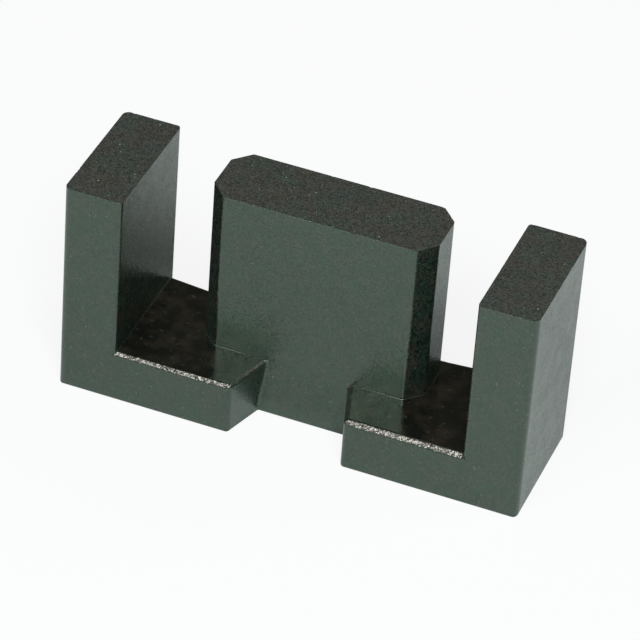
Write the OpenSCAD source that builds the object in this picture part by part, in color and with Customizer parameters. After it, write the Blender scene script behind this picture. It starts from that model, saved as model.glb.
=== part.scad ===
// Flat-design ferrite E core, one half of a transformer core set.
// It stands on the back of its yoke, with the three legs pointing up.
// X runs across the legs, Y from the notched front to the back, Z along the legs.
// The origin is under the middle of the yoke.

/* [Overall] */
// Width across the two outer legs
core_w = 30.4; // [27:0.1:40]
// Depth of the outer legs, from front to back
core_d = 9.2; // [8.4:0.1:14]
// Height from the back of the yoke to the pole faces
core_h = 14.9; // [8:0.1:30]

/* [Yoke] */
// Height of the yoke, the web that joins the legs
yoke_h = 3.6; // [2:0.1:6]
// Set-back of the yoke from the back face of an outer leg, where the two meet
relief_step = 0.35; // [0.1:0.05:0.7]

/* [Outer legs] */
// Width of each outer leg
outer_leg_w = 3.8; // [2.4:0.1:5]

/* [Centre leg] */
// Width of the centre leg
centre_leg_w = 14.6; // [11:0.1:17]
// Thickness of the centre leg, from front to back
centre_leg_t = 5; // [4:0.1:6]
// Set-back of the centre leg from the back faces of the outer legs
centre_leg_back = 0.75; // [0.5:0.05:1.5]
// Width that each corner chamfer takes off the front and back faces
chamfer_x = 1.05; // [0.6:0.05:2]
// Width that each corner chamfer takes off the side faces
chamfer_y = 1.15; // [0.6:0.05:1.6]

/* [Notch in the yoke] */
// Width of the notch at the front face
notch_front_w = 7.5; // [6:0.1:9]
// Width of the notch where it meets the centre leg
notch_back_w = 5.4; // [3:0.1:5.8]
// How far the foot of the notch's back wall stands in front of the centre leg
notch_foot = 0.55; // [0.1:0.05:1]
// Height at which that back wall starts to lean towards the centre leg
notch_upright_h = 1.1; // [0.4:0.1:1.6]

/* [Edges] */
// Radius of the outer upright edges of the outer legs
outer_edge_r = 0.5; // [0.2:0.05:1]
// Radius of the upright edges of the outer legs beside the windows
window_edge_r = 0.3; // [0.1:0.05:0.8]
// Radius of the upright edges of the notch at the front face
notch_edge_r = 0.35; // [0.1:0.05:0.6]
// Radius of the upright edges where the chamfers meet the centre leg's faces
chamfer_edge_r = 0.25; // [0.1:0.05:0.4]
// Radius along the edges of the window floors
floor_edge_r = 0.3; // [0.1:0.05:0.5]
// Radius around the foot of the core
foot_edge_r = 0.15; // [0.05:0.05:0.3]

/* [Hidden] */
$fn = 64;
// How far a cutter runs past the faces that it cuts
past = 1;
ferrite = "#3d4543";

// Front and back faces, across the depth
front_y = -core_d / 2;
back_y = core_d / 2;
leg_back_y = back_y - centre_leg_back;
leg_front_y = leg_back_y - centre_leg_t;
notch_foot_y = leg_front_y - notch_foot;
relief_y = back_y - relief_step;

// Half widths, from the middle plane
half_w = core_w / 2;
half_gap = half_w - outer_leg_w;
half_yoke = half_gap + outer_leg_w / 2;
half_leg = centre_leg_w / 2;
half_leg_face = half_leg - chamfer_x;
half_notch = notch_front_w / 2;
half_notch_back = notch_back_w / 2;

// Outlines are lists of corners [across, along, radius], anticlockwise.
// Three are seen from above, two from the side and one from the front.
outer_leg_plan = [
    [half_gap, front_y, window_edge_r],
    [half_w, front_y, outer_edge_r],
    [half_w, back_y, outer_edge_r],
    [half_gap, back_y, window_edge_r]
];
centre_leg_plan = [
    [-half_leg_face, leg_front_y, chamfer_edge_r],
    [half_leg_face, leg_front_y, chamfer_edge_r],
    [half_leg, leg_front_y + chamfer_y, chamfer_edge_r],
    [half_leg, leg_back_y - chamfer_y, chamfer_edge_r],
    [half_leg_face, leg_back_y, chamfer_edge_r],
    [-half_leg_face, leg_back_y, chamfer_edge_r],
    [-half_leg, leg_back_y - chamfer_y, chamfer_edge_r],
    [-half_leg, leg_front_y + chamfer_y, chamfer_edge_r]
];
yoke_plan = [
    [-half_yoke, front_y, 0],
    [half_yoke, front_y, 0],
    [half_yoke, relief_y, 0],
    [half_gap, relief_y, 0],
    [half_leg, leg_back_y, 0],
    [-half_leg, leg_back_y, 0],
    [-half_gap, relief_y, 0],
    [-half_yoke, relief_y, 0]
];
notch_plan = [
    [-half_yoke, front_y - past, 0],
    [half_yoke, front_y - past, 0],
    [half_yoke, front_y, 0],
    [half_notch, front_y, notch_edge_r],
    [half_notch_back, leg_front_y, 0],
    [-half_notch_back, leg_front_y, 0],
    [-half_notch, front_y, notch_edge_r],
    [-half_yoke, front_y, 0]
];
notch_side_view = [
    [front_y - past, -past, 0],
    [notch_foot_y, -past, 0],
    [notch_foot_y, notch_upright_h, 0],
    [leg_front_y, yoke_h, 0],
    [leg_front_y, yoke_h + past, 0],
    [front_y - past, yoke_h + past, 0]
];
side_view = [
    [front_y, 0, foot_edge_r],
    [back_y, 0, foot_edge_r],
    [back_y, core_h, 0],
    [front_y, core_h, 0]
];
front_view = [
    [-half_w, 0, foot_edge_r],
    [half_w, 0, foot_edge_r],
    [half_w, core_h, 0],
    [-half_w, core_h, 0]
];

function corner(o, i) = let (c = o[(i + len(o)) % len(o)]) [c[0], c[1]];
function toward(a, b) = (b - a) / norm(b - a);
function to_last(o, i) = toward(corner(o, i), corner(o, i - 1));
function to_next(o, i) = toward(corner(o, i), corner(o, i + 1));
function is_round(o, i) = o[i][2] > 0;
function is_convex(o, i) = cross(-to_last(o, i), to_next(o, i)) > 0;
function half_angle(o, i) = acos(to_last(o, i) * to_next(o, i)) / 2;
function setback(o, i) = o[i][2] / tan(half_angle(o, i));
function arc_centre(o, i) =
    let (middle = to_last(o, i) + to_next(o, i))
    corner(o, i) + middle / norm(middle) * o[i][2] / sin(half_angle(o, i));
function corner_points(o, i) = is_round(o, i)
    ? [
        corner(o, i) + to_last(o, i) * setback(o, i),
        corner(o, i) + to_next(o, i) * setback(o, i)
    ]
    : [corner(o, i)];

// The discs that round an outline's convex corners, or its hollow ones
module corner_discs(o, convex)
    for (i = [0:len(o) - 1])
        if (is_round(o, i) && is_convex(o, i) == convex)
            translate(arc_centre(o, i)) circle(o[i][2]);

// A closed outline with true arcs at its corners
module outline(o)
    difference() {
        union() {
            polygon([for (i = [0:len(o) - 1]) each corner_points(o, i)]);
            corner_discs(o, true);
        }
        corner_discs(o, false);
    }

// Sweeps an outline of the side view across the whole core
module across_x()
    translate([-half_w - past, 0, 0])
        rotate([90, 0, 90])
            linear_extrude(core_w + 2 * past) children();

// Sweeps an outline of the front view from the back to the front
module along_y()
    translate([0, back_y + past, 0])
        rotate([90, 0, 0])
            linear_extrude(core_d + 2 * past) children();

module both_sides() {
    children();
    mirror([1, 0, 0]) children();
}

// Rounds the floor edge that runs from a to b, with the ferrite on its left
module round_over(a, b)
    translate([a[0], a[1], yoke_h])
        rotate([0, 0, atan2(b[1] - a[1], b[0] - a[0])])
            translate([-past, 0, 0])
                rotate([90, 0, 90])
                    linear_extrude(norm(b - a) + 2 * past)
                        difference() {
                            translate([-past, -floor_edge_r]) square(past + floor_edge_r);
                            translate([floor_edge_r, -floor_edge_r]) circle(floor_edge_r);
                        }

module notch()
    intersection() {
        translate([0, 0, -past]) linear_extrude(yoke_h + 2 * past) outline(notch_plan);
        across_x() outline(notch_side_view);
    }

module yoke()
    difference() {
        linear_extrude(yoke_h) outline(yoke_plan);
        notch();
        both_sides() {
            round_over([half_notch, front_y], [half_gap, front_y]);
            round_over([half_notch_back, leg_front_y], [half_notch, front_y]);
            round_over([half_gap, relief_y], [half_leg, leg_back_y]);
        }
    }

module outer_leg()
    linear_extrude(core_h) outline(outer_leg_plan);

module centre_leg()
    linear_extrude(core_h) outline(centre_leg_plan);

module core()
    color(ferrite)
        intersection() {
            union() {
                yoke();
                both_sides() outer_leg();
                centre_leg();
            }
            along_y() outline(front_view);
            across_x() outline(side_view);
        }

core();
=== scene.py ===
"""Looks of a flat-design ferrite E core: the finely edged core, its materials, the floor, light and camera.

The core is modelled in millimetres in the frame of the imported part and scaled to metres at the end.
"""
import math
import random

import bmesh
import bpy
from mathutils import Euler, Matrix, Vector, noise


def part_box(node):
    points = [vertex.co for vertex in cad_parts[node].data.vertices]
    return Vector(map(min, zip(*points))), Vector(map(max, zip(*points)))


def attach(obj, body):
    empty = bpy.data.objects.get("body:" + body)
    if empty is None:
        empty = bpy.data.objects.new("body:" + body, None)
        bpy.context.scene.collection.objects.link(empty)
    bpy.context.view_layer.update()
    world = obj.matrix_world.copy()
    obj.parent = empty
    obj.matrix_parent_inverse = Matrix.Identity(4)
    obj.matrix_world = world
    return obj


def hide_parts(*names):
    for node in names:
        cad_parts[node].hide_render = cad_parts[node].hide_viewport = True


MM = 0.001

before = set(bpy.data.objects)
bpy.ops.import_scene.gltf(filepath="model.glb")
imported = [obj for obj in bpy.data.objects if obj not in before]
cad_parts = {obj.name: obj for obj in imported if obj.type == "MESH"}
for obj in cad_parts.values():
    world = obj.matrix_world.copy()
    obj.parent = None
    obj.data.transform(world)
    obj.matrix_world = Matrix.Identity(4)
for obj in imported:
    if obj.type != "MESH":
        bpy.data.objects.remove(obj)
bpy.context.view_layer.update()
cad_low, cad_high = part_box("core")

# ---------------------------------------------------------------- sizes, in millimetres

half_w = cad_high.x / MM
front_y = cad_low.y / MM
back_y = cad_high.y / MM
core_h = cad_high.z / MM

YOKE_H = 3.6
OUTER_LEG_W = 3.8
CENTRE_LEG_W = 14.6
CENTRE_LEG_T = 5.0
CENTRE_LEG_BACK = 0.75
CHAMFER_X = 1.05
CHAMFER_Y = 1.15
RELIEF_STEP = 0.35
NOTCH_FRONT_W = 7.5
NOTCH_BACK_W = 5.4
NOTCH_FOOT = 0.55
# Height at which the notch's back wall leaves the upright, and the number of steps in its curve
NOTCH_UPRIGHT_H = 0.5
NOTCH_STEPS = 10

half_gap = half_w - OUTER_LEG_W
half_leg = CENTRE_LEG_W / 2
half_leg_face = half_leg - CHAMFER_X
leg_back_y = back_y - CENTRE_LEG_BACK
leg_front_y = leg_back_y - CENTRE_LEG_T
relief_y = back_y - RELIEF_STEP
notch_foot_y = leg_front_y - NOTCH_FOOT

# How far rounding sets each kind of edge back, measured along its faces
EDGE_SETBACK = {
    "foot": 0.12,
    "pole": 0.03,
    "outer": 0.5,
    "window": 0.3,
    "chamfer": 0.15,
    "notch": 0.26,
    "floor": 0.33,
    "left_floor": 0.24,
    "root": 0.07,
    "notch_root": 0.16,
    "relief": 0.04,
}
EDGE_SEGMENTS = 4
# Material slots
FLAT, EDGE = 0, 1
# Widths of the two narrow bands of faces that keep the flat faces flat beside an edge
BANDS = (0.04, 0.1)
# Faces below this area get no bands
SMALL_FACE = 2.0
# Spacing of the cuts along an edge
PITCH = 0.1
# Edges that turn less than this are part of a smooth face
SMOOTH_ANGLE = math.radians(20)
# How far a cutter runs past the faces that it cuts
PAST = 1.0
NEAR = 0.001
# A face is square to the frame when one part of its normal is more than this
SQUARE = 0.9995
# Chips along the edges of the pole faces: how far below the faces they start, how many,
# how far each reaches and how deep it is
CHIP_ZONE = 0.06
CHIP_SEED = 5
CHIPS = 40
CHIP_REACH = (0.06, 0.15)
CHIP_DEPTH = (0.02, 0.05)
# The window floors' front edges: how far they are worn from round to flat, and the depth of their grain
WORN_FLAT = 0.7
COARSE_DEPTH = 0.006


# ---------------------------------------------------------------- the core's form

def add_object(name, mesh):
    thing = bpy.data.objects.new(name, mesh)
    bpy.context.scene.collection.objects.link(thing)
    return thing


def loft(name, rings):
    """A closed solid through rings that have the same number of points."""
    bm = bmesh.new()
    loops = [[bm.verts.new(point) for point in ring] for ring in rings]
    bm.faces.new(loops[0])
    bm.faces.new(loops[-1])
    for low, high in zip(loops, loops[1:]):
        for i in range(len(low)):
            j = (i + 1) % len(low)
            bm.faces.new((low[i], low[j], high[j], high[i]))
    bmesh.ops.recalc_face_normals(bm, faces=bm.faces)
    mesh = bpy.data.meshes.new(name)
    bm.to_mesh(mesh)
    bm.free()
    return add_object(name, mesh)


def prism(name, outline, low, high):
    return loft(name, [[(x, y, z) for x, y in outline] for z in (low, high)])


def apply_modifiers(thing):
    bpy.context.view_layer.update()
    graph = bpy.context.evaluated_depsgraph_get()
    mesh = bpy.data.meshes.new_from_object(thing.evaluated_get(graph))
    thing.modifiers.clear()
    thing.data = mesh


def combine(thing, other, operation):
    modifier = thing.modifiers.new(operation, "BOOLEAN")
    modifier.operation = operation
    modifier.solver = "EXACT"
    modifier.object = other
    apply_modifiers(thing)
    bpy.data.objects.remove(other)


def mirrored(outline):
    """An outline with its own mirror image across the middle plane."""
    return outline + [(-x, y) for x, y in reversed(outline)]


def notch_half_width(y):
    share = (y - front_y) / (leg_front_y - front_y)
    return (NOTCH_FRONT_W + (NOTCH_BACK_W - NOTCH_FRONT_W) * share) / 2


def notch_back_y(z):
    """The notch's back wall: upright at its foot, then easing back to the centre leg's front."""
    rise = min(max((z - NOTCH_UPRIGHT_H) / (YOKE_H - NOTCH_UPRIGHT_H), 0), 1)
    return notch_foot_y + NOTCH_FOOT * rise * rise * (3 - 2 * rise)


def notch_cutter():
    step = (YOKE_H - NOTCH_UPRIGHT_H) / NOTCH_STEPS
    heights = [-PAST]
    heights += [NOTCH_UPRIGHT_H + step * i for i in range(NOTCH_STEPS + 1)]
    heights += [YOKE_H + PAST]
    rings = []
    for z in heights:
        near_y = front_y - PAST
        far_y = notch_back_y(z)
        near_w = notch_half_width(near_y)
        far_w = notch_half_width(far_y)
        rings.append([(-near_w, near_y, z), (near_w, near_y, z), (far_w, far_y, z), (-far_w, far_y, z)])
    return loft("notch", rings)


def sharp_core():
    half_yoke = half_gap + OUTER_LEG_W / 2
    core = prism(
        "ferrite_core",
        mirrored([
            (half_yoke, front_y),
            (half_yoke, relief_y),
            (half_gap, relief_y),
            (half_leg, leg_back_y),
        ]),
        0,
        YOKE_H,
    )
    combine(core, notch_cutter(), "DIFFERENCE")
    for side in (-1, 1):
        xs = (side * half_gap, side * half_w)
        outline = [(xs[0], front_y), (xs[1], front_y), (xs[1], back_y), (xs[0], back_y)]
        combine(core, prism("outer_leg", outline, 0, core_h), "UNION")
    centre = mirrored([
        (half_leg_face, leg_front_y),
        (half_leg, leg_front_y + CHAMFER_Y),
        (half_leg, leg_back_y - CHAMFER_Y),
        (half_leg_face, leg_back_y),
    ])
    combine(core, prism("centre_leg", centre, 0, core_h), "UNION")
    return core


def edge_kind(edge):
    """Which of the core's kinds of edge this is, or None on a smooth face."""
    turn = edge.calc_face_angle_signed()
    if abs(turn) < SMOOTH_ANGLE:
        return None
    start, end = (vert.co for vert in edge.verts)
    middle = (start + end) / 2
    x, z = abs(middle.x), middle.z
    if z < NEAR:
        return "foot"
    if z > core_h - NEAR:
        return "pole"
    if abs(start.z - end.z) < NEAR:
        if turn < 0:
            return "root"
        return "floor" if middle.x > 0 else "left_floor"
    if x > half_w - NEAR:
        return "outer"
    if x > half_gap - NEAR:
        return "window" if turn > 0 else "relief"
    if turn < 0:
        return "notch_root"
    return "chamfer" if z > YOKE_H else "notch"


def round_edges(core):
    """Rounds every edge by its kind; the new faces get the edge material."""
    bm = bmesh.new()
    bm.from_mesh(core.data)
    bmesh.ops.remove_doubles(bm, verts=bm.verts, dist=NEAR / 10)
    bmesh.ops.dissolve_limit(bm, angle_limit=math.radians(0.2), verts=bm.verts, edges=bm.edges)
    inner = [face for face in bm.faces if abs(abs(face.calc_center_median().x) - half_gap) < NEAR]
    inner += [part for face in inner for part in (*face.edges, *face.verts)]
    bmesh.ops.bisect_plane(bm, geom=list(set(inner)), plane_co=(0, 0, YOKE_H), plane_no=(0, 0, 1))
    widest = max(EDGE_SETBACK.values())
    weight = bm.edges.layers.float.new("bevel_weight_edge")
    for edge in bm.edges:
        kind = edge_kind(edge)
        edge[weight] = EDGE_SETBACK[kind] / widest if kind else 0
    bm.to_mesh(core.data)
    bm.free()
    modifier = core.modifiers.new("rounding", "BEVEL")
    modifier.limit_method = "WEIGHT"
    modifier.width = widest
    modifier.segments = EDGE_SEGMENTS
    modifier.use_clamp_overlap = False
    modifier.material = EDGE
    apply_modifiers(core)


def edge_rings(bm):
    """Groups of long edges that lie side by side along one strip of four-sided faces."""
    seen = set()
    for first in bm.edges:
        if first in seen or first.calc_length() < 3 * PITCH:
            continue
        ring = []
        queue = [first]
        seen.add(first)
        while queue:
            edge = queue.pop()
            ring.append(edge)
            for loop in edge.link_loops:
                if len(loop.face.verts) != 4:
                    continue
                opposite = loop.link_loop_next.link_loop_next.edge
                if opposite not in seen:
                    seen.add(opposite)
                    queue.append(opposite)
        yield ring


def takes_bands(face):
    """The big flat faces do, apart from the notch's slanted side walls, whose curved ends are too fine."""
    slanted = 0.9 < abs(face.normal.x) < 0.99
    return face.material_index == FLAT and face.calc_area() > SMALL_FACE and not slanted


def level(face):
    """Brings the corners of a face that is square to the frame into one plane."""
    for axis in range(3):
        if abs(face.normal[axis]) > SQUARE:
            heights = sorted(vert.co[axis] for vert in face.verts)
            for vert in face.verts:
                vert.co[axis] = heights[len(heights) // 2]


def refine_edges(core):
    """Adds a narrow flat band beside every edge and cuts the edges finely along their length."""
    bm = bmesh.new()
    bm.from_mesh(core.data)
    flats = [face for face in bm.faces if takes_bands(face)]
    for face in flats:
        level(face)
    for band in BANDS:
        rim = bmesh.ops.inset_individual(bm, faces=flats, thickness=band, use_even_offset=True)
        for face in rim["faces"]:
            face.material_index = EDGE
    bmesh.ops.delete(bm, geom=flats, context="FACES_ONLY")
    for ring in list(edge_rings(bm)):
        cuts = round(max(edge.calc_length() for edge in ring) / PITCH) - 1
        bmesh.ops.subdivide_edges(bm, edges=ring, cuts=cuts)
    bmesh.ops.holes_fill(bm, edges=[edge for edge in bm.edges if edge.is_boundary], sides=0)
    bmesh.ops.recalc_face_normals(bm, faces=bm.faces)
    bm.to_mesh(core.data)
    bm.free()


def share(value, low, high):
    """How far a value has come from low to high, eased and kept between 0 and 1."""
    part = min(max((value - low) / (high - low), 0), 1)
    return part * part * (3 - 2 * part)


def front_edge(point):
    """Where a point lies on the rounded front edge of a window floor.

    Gives how far back and how far down from the sharp edge, as shares of the setback, or None elsewhere.
    """
    setback = EDGE_SETBACK["floor" if point.x > 0 else "left_floor"]
    back = (point.y - front_y) / setback
    down = (YOKE_H - point.z) / setback
    if abs(point.x) > half_gap or down < -NEAR or back + down > 1 + NEAR:
        return None
    return back, down


def round_tip(vert):
    """Draws the tips that the rounding leaves at the ends of the legs' upright edges into the same round."""
    side = math.copysign(1, vert.co.x)
    face_y, inward = (back_y, -1) if vert.co.y > 0 else (front_y, 1)
    for x, kind, outward in ((half_w, "outer", 1), (half_gap, "window", -1)):
        radius = EDGE_SETBACK[kind]
        centre = Vector((x - outward * radius, face_y + inward * radius))
        offset = Vector((abs(vert.co.x), vert.co.y)) - centre
        beyond = outward * offset.x > 0 and inward * offset.y < 0 and abs(vert.co.x) > half_gap - NEAR
        if kind == "window" and inward > 0 and vert.co.z < YOKE_H + NEAR:
            beyond = False
        if beyond and offset.length > radius:
            place = centre + offset.normalized() * radius
            vert.co.x, vert.co.y = side * place.x, place.y


def wear(core):
    """Roughens the grainy edges, chips the pole-face edges and marks the kinds of skin for the material."""
    chance = random.Random(CHIP_SEED)
    bm = bmesh.new()
    bm.from_mesh(core.data)
    bm.normal_update()
    ground = bm.verts.layers.float.new("ground")
    polished = bm.verts.layers.float.new("polished")
    coarse = bm.verts.layers.float.new("coarse")
    rim = [vert for vert in bm.verts if core_h - CHIP_ZONE < vert.co.z]
    chips = []
    for _ in range(CHIPS):
        centre = chance.choice(rim).co.copy()
        chips.append((centre, chance.uniform(*CHIP_REACH), chance.uniform(*CHIP_DEPTH)))
    for vert in bm.verts:
        vert[ground] = 1.0 if vert.co.z > core_h - NEAR else 0.0
        vert[polished] = 1.0 if abs(vert.co.z - YOKE_H) < NEAR and vert.normal.z > 0.99 else 0.0
        vert[coarse] = 0.0
        if YOKE_H - EDGE_SETBACK["floor"] < vert.co.z < YOKE_H - NEAR and vert.co.y < leg_front_y:
            if abs(vert.co.x) < NOTCH_FRONT_W / 2 + EDGE_SETBACK["floor"]:
                vert[coarse] = share(vert.normal.z, 0.15, 0.45) * share(vert.normal.z, 0.99, 0.9)
    moves = []
    for vert in bm.verts:
        depth = 0.0
        edge = front_edge(vert.co)
        if edge:
            # Worn from round towards flat
            worn = (1 - sum(edge)) / 2 * WORN_FLAT * EDGE_SETBACK["floor"]
            vert[coarse] = share(sum(edge), 1.05, 0.65)
            depth += worn * math.sqrt(2) + vert[coarse] * COARSE_DEPTH * (noise.noise(vert.co * 5.0) + 1) / 2
        for centre, reach, deep in chips:
            if (vert.co - centre).length < reach:
                depth = max(depth, deep * (1 - (vert.co - centre).length / reach))
        if depth:
            moves.append((vert, vert.normal * depth))
    for vert, move in moves:
        vert.co -= move
    for face in bm.faces:
        if face.material_index == FLAT and face.calc_area() > SMALL_FACE:
            level(face)
    for vert in bm.verts:
        round_tip(vert)
    bm.to_mesh(core.data)
    bm.free()


core = sharp_core()
# Two slots tell the flat faces from the rounded ones while the edges are made
for name in ("flat", "edge"):
    core.data.materials.append(bpy.data.materials.new(name))
round_edges(core)
refine_edges(core)
wear(core)
core.data.transform(Matrix.Scale(MM, 4))
for polygon in core.data.polygons:
    polygon.use_smooth = polygon.material_index == EDGE
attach(core, "root")
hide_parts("core")

# ---------------------------------------------------------------- ferrite

# Grains to a millimetre
GRAINS = 13.0
SKIN_IOR = 1.85
# Where the edges are worn
COARSE_IOR = 2.4
COARSE_ROUGHNESS = 0.4


class Graph:
    """A material, with short ways to add linked nodes to it."""

    def __init__(self, name):
        self.material = bpy.data.materials.new(name)
        self.material.use_nodes = True
        self.tree = self.material.node_tree
        self.surface = self.tree.nodes["Principled BSDF"]

    def feed(self, node, inputs):
        for key, value in inputs.items():
            if isinstance(value, bpy.types.NodeSocket):
                self.tree.links.new(value, node.inputs[key])
            else:
                node.inputs[key].default_value = value

    def node(self, kind, inputs, **settings):
        node = self.tree.nodes.new("ShaderNode" + kind)
        for key, value in settings.items():
            setattr(node, key, value)
        self.feed(node, inputs)
        return node

    def math(self, operation, first, second):
        return self.node("Math", {0: first, 1: second}, operation=operation).outputs[0]

    def vector(self, operation, first, second):
        node = self.node("VectorMath", {0: first, 1: second}, operation=operation)
        return node.outputs[1 if operation == "DISTANCE" else 0]

    def scaled(self, vector, factor):
        return self.node("VectorMath", {0: vector, "Scale": factor}, operation="SCALE").outputs[0]

    def noise(self, place, scale, detail=2.0):
        node = self.node("TexNoise", {"Vector": place, "Scale": scale, "Detail": detail})
        return node.outputs[0]

    def cells(self, place, scale):
        """A random colour for every cell."""
        return self.node("TexVoronoi", {"Vector": place, "Scale": scale}).outputs["Color"]

    def ramp(self, value, low, high, start=0.0, end=1.0):
        """Start below low, end above high and smooth between."""
        inputs = {"Value": value, "From Min": low, "From Max": high, "To Min": start, "To Max": end}
        return self.node("MapRange", inputs, interpolation_type="SMOOTHSTEP").outputs[0]

    def blend(self, factor, first, second):
        node = self.node("Mix", {0: factor, 6: first, 7: second}, data_type="RGBA")
        return node.outputs[2]

    def between(self, factor, first, second):
        return self.node("Mix", {0: factor, 2: first, 3: second}).outputs[0]

    def mark(self, name):
        return self.node("Attribute", {}, attribute_name=name).outputs["Fac"]


def ferrite():
    g = Graph("ferrite")
    place = g.scaled(g.node("TexCoord", {}).outputs["Object"], 1 / MM)
    ground, polished, coarse = g.mark("ground"), g.mark("polished"), g.mark("coarse")

    # Pressed skin: dark green with faint brown clouds and scattered pale specks
    clouds = g.ramp(g.noise(place, 0.9, 3.0), 0.42, 0.62)
    pressed = g.blend(clouds, (0.008, 0.015, 0.011, 1), (0.014, 0.015, 0.012, 1))
    speck = g.ramp(g.noise(place, 6.0, 1.0), 0.70, 0.78)
    pressed = g.blend(speck, pressed, (0.045, 0.055, 0.048, 1))
    grain = g.cells(place, GRAINS)
    grain_shade = g.node("SeparateColor", {0: grain})
    pressed = g.scaled(pressed, g.ramp(grain_shade.outputs[2], 0.0, 1.0, 0.3, 2.0))
    pressed_rough = g.ramp(g.noise(place, 0.6, 4.0), 0.3, 0.7, 0.22, 0.3)

    # Window floors: smoother, with brown stains and dust
    stains = g.ramp(g.noise(place, 0.8, 3.0), 0.4, 0.65)
    floor_colour = g.blend(stains, (0.006, 0.006, 0.005, 1), (0.018, 0.015, 0.011, 1))
    dust = g.ramp(g.noise(place, 2.2, 2.0), 0.6, 0.8)
    floor_colour = g.blend(dust, floor_colour, (0.04, 0.042, 0.04, 1))
    floor_rough = g.ramp(g.noise(place, 1.5, 3.0), 0.35, 0.7, 0.13, 0.23)

    # Ground pole faces: grey grains with brown and violet clouds
    tone = g.ramp(grain_shade.outputs[0], 0.0, 1.0)
    grey = g.blend(tone, (0.022, 0.024, 0.022, 1), (0.066, 0.067, 0.061, 1))
    tint = g.blend(g.ramp(g.noise(place, 0.7, 2.0), 0.4, 0.6), (0.93, 1.08, 1.04, 1), (1.08, 1.0, 0.97, 1))
    ground_colour = g.vector("MULTIPLY", grey, tint)
    ground_rough = g.ramp(grain_shade.outputs[1], 0.0, 1.0, 0.38, 0.6)

    colour = g.blend(ground, g.blend(polished, pressed, floor_colour), ground_colour)
    rough = g.between(ground, g.between(polished, pressed_rough, floor_rough), ground_rough)
    rough = g.between(coarse, rough, COARSE_ROUGHNESS)

    # Tilted facets: few on the pole faces, many on the coarse edges
    turn = g.vector("SUBTRACT", grain, (0.5, 0.5, 0.5))
    rare = g.ramp(g.node("SeparateColor", {0: g.cells(place, 11.0)}).outputs[0], 0.945, 0.96)
    strength = g.between(ground, g.between(polished, 0.14, 0.05), g.between(rare, 0.12, 2.8))
    strength = g.math("ADD", strength, g.math("MULTIPLY", coarse, 0.5))
    normal = g.vector("ADD", g.node("NewGeometry", {}).outputs["Normal"], g.scaled(turn, strength))
    normal = g.node("VectorMath", {0: normal}, operation="NORMALIZE").outputs[0]
    bump = g.node("Bump", {
        "Strength": 0.25,
        "Distance": 0.02 * MM,
        "Height": g.noise(place, 6.0, 4.0),
        "Normal": normal,
    })
    g.feed(g.surface, {
        "Base Color": colour,
        "Roughness": rough,
        "Normal": bump.outputs[0],
        "IOR": g.between(coarse, SKIN_IOR, COARSE_IOR),
        "Specular Tint": g.blend(coarse, (0.79, 1.0, 0.83, 1), (1.0, 0.96, 0.87, 1)),
    })
    return g.material


core.data.materials.clear()
core.data.materials.append(ferrite())

# ---------------------------------------------------------------- camera

# The camera looks at the core's middle from the right and from above
CAMERA_AZIMUTH = 18.96
CAMERA_ELEVATION = 37.13
CAMERA_ROLL = 4.42
CAMERA_AIM = Vector((0.22, -0.21, 7.09)) * MM
CAMERA_DISTANCE = 260.3 * MM
LENS = 239.3
SENSOR = 36.0


def direction(azimuth, elevation):
    """Unit vector; azimuth 0 is the front, -Y, and grows towards +X."""
    azimuth, elevation = math.radians(azimuth), math.radians(elevation)
    return Vector((
        math.sin(azimuth) * math.cos(elevation),
        -math.cos(azimuth) * math.cos(elevation),
        math.sin(elevation),
    ))


def add_camera():
    data = bpy.data.cameras.new("camera")
    data.sensor_width = SENSOR
    data.lens = LENS
    data.clip_start = 10 * MM
    data.clip_end = 10
    camera = add_object("camera", data)
    back = direction(CAMERA_AZIMUTH, CAMERA_ELEVATION)
    turn = Euler((math.radians(90 - CAMERA_ELEVATION), 0, math.radians(CAMERA_AZIMUTH))).to_matrix()
    roll = Matrix.Rotation(math.radians(CAMERA_ROLL), 3, "Z")
    place = Matrix.Translation(CAMERA_AIM + back * CAMERA_DISTANCE)
    camera.matrix_world = place @ (turn @ roll).to_4x4()
    bpy.context.scene.camera = camera


add_camera()

# ---------------------------------------------------------------- studio

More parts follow.
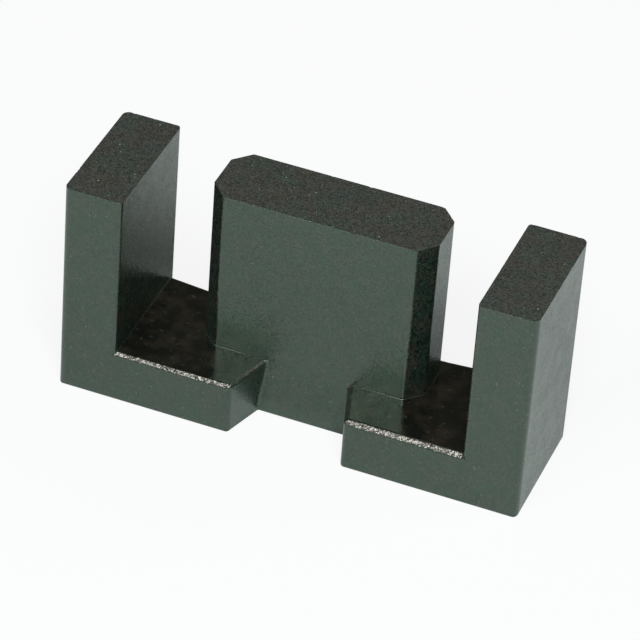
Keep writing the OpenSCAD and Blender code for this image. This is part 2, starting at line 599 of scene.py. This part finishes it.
def softbox(name, azimuth, elevation, distance, size, radiance):
    data = bpy.data.lights.new(name, "AREA")
    data.shape = "RECTANGLE"
    data.size, data.size_y = size
    data.energy = radiance * math.pi * size[0] * size[1]
    lamp = add_object(name, data)
    lamp.location = direction(azimuth, elevation) * distance + Vector((0, 0, core_h / 2 * MM))
    lamp.rotation_euler = direction(azimuth, elevation).to_track_quat("Z", "Y").to_euler()


softbox("key", 24, 48, 0.5, (0.24, 0.22), 13.0)
softbox("left", -20, 42, 0.5, (0.2, 0.16), 8.0)
softbox("right", 118, 30, 0.5, (0.14, 0.1), 10.0)

# The room behind and above the core is dark; only the camera sees a white backdrop
ROOM_COLOUR = (0.055, 0.048, 0.042, 1)
world = bpy.data.worlds.new("studio")
bpy.context.scene.world = world
world.use_nodes = True
tree = world.node_tree
background = tree.nodes["Background"]
mix = tree.nodes.new("ShaderNodeMix")
mix.data_type = "RGBA"
mix.inputs[6].default_value = ROOM_COLOUR
mix.inputs[7].default_value = (1, 1, 1, 1)
tree.links.new(tree.nodes.new("ShaderNodeLightPath").outputs["Is Camera Ray"], mix.inputs[0])
tree.links.new(mix.outputs[2], background.inputs["Color"])


# The floor is a plain sheet; the camera sees it mixed with this share of white
FLOOR_COLOUR = (0.82, 0.88, 0.88, 1)
FLOOR_REACH = 1.0
FLOOR_WHITE = 0.85


def add_floor():
    mesh = bpy.data.meshes.new("floor")
    corners = [(x * FLOOR_REACH, y * FLOOR_REACH, 0) for x, y in ((-1, -1), (1, -1), (1, 1), (-1, 1))]
    mesh.from_pydata(corners, [], [(0, 1, 2, 3)])
    g = Graph("floor")
    g.feed(g.surface, {"Base Color": FLOOR_COLOUR, "Roughness": 1.0, "Specular IOR Level": 0.0})
    seen = g.math("MULTIPLY", g.node("LightPath", {}).outputs["Is Camera Ray"], FLOOR_WHITE)
    glow = g.node("Emission", {})
    mixed = g.node("MixShader", {0: seen, 1: g.surface.outputs[0], 2: glow.outputs[0]})
    g.feed(g.tree.nodes["Material Output"], {"Surface": mixed.outputs[0]})
    mesh.materials.append(g.material)
    floor = add_object("floor", mesh)


add_floor()

bpy.context.scene.view_settings.view_transform = "Standard"
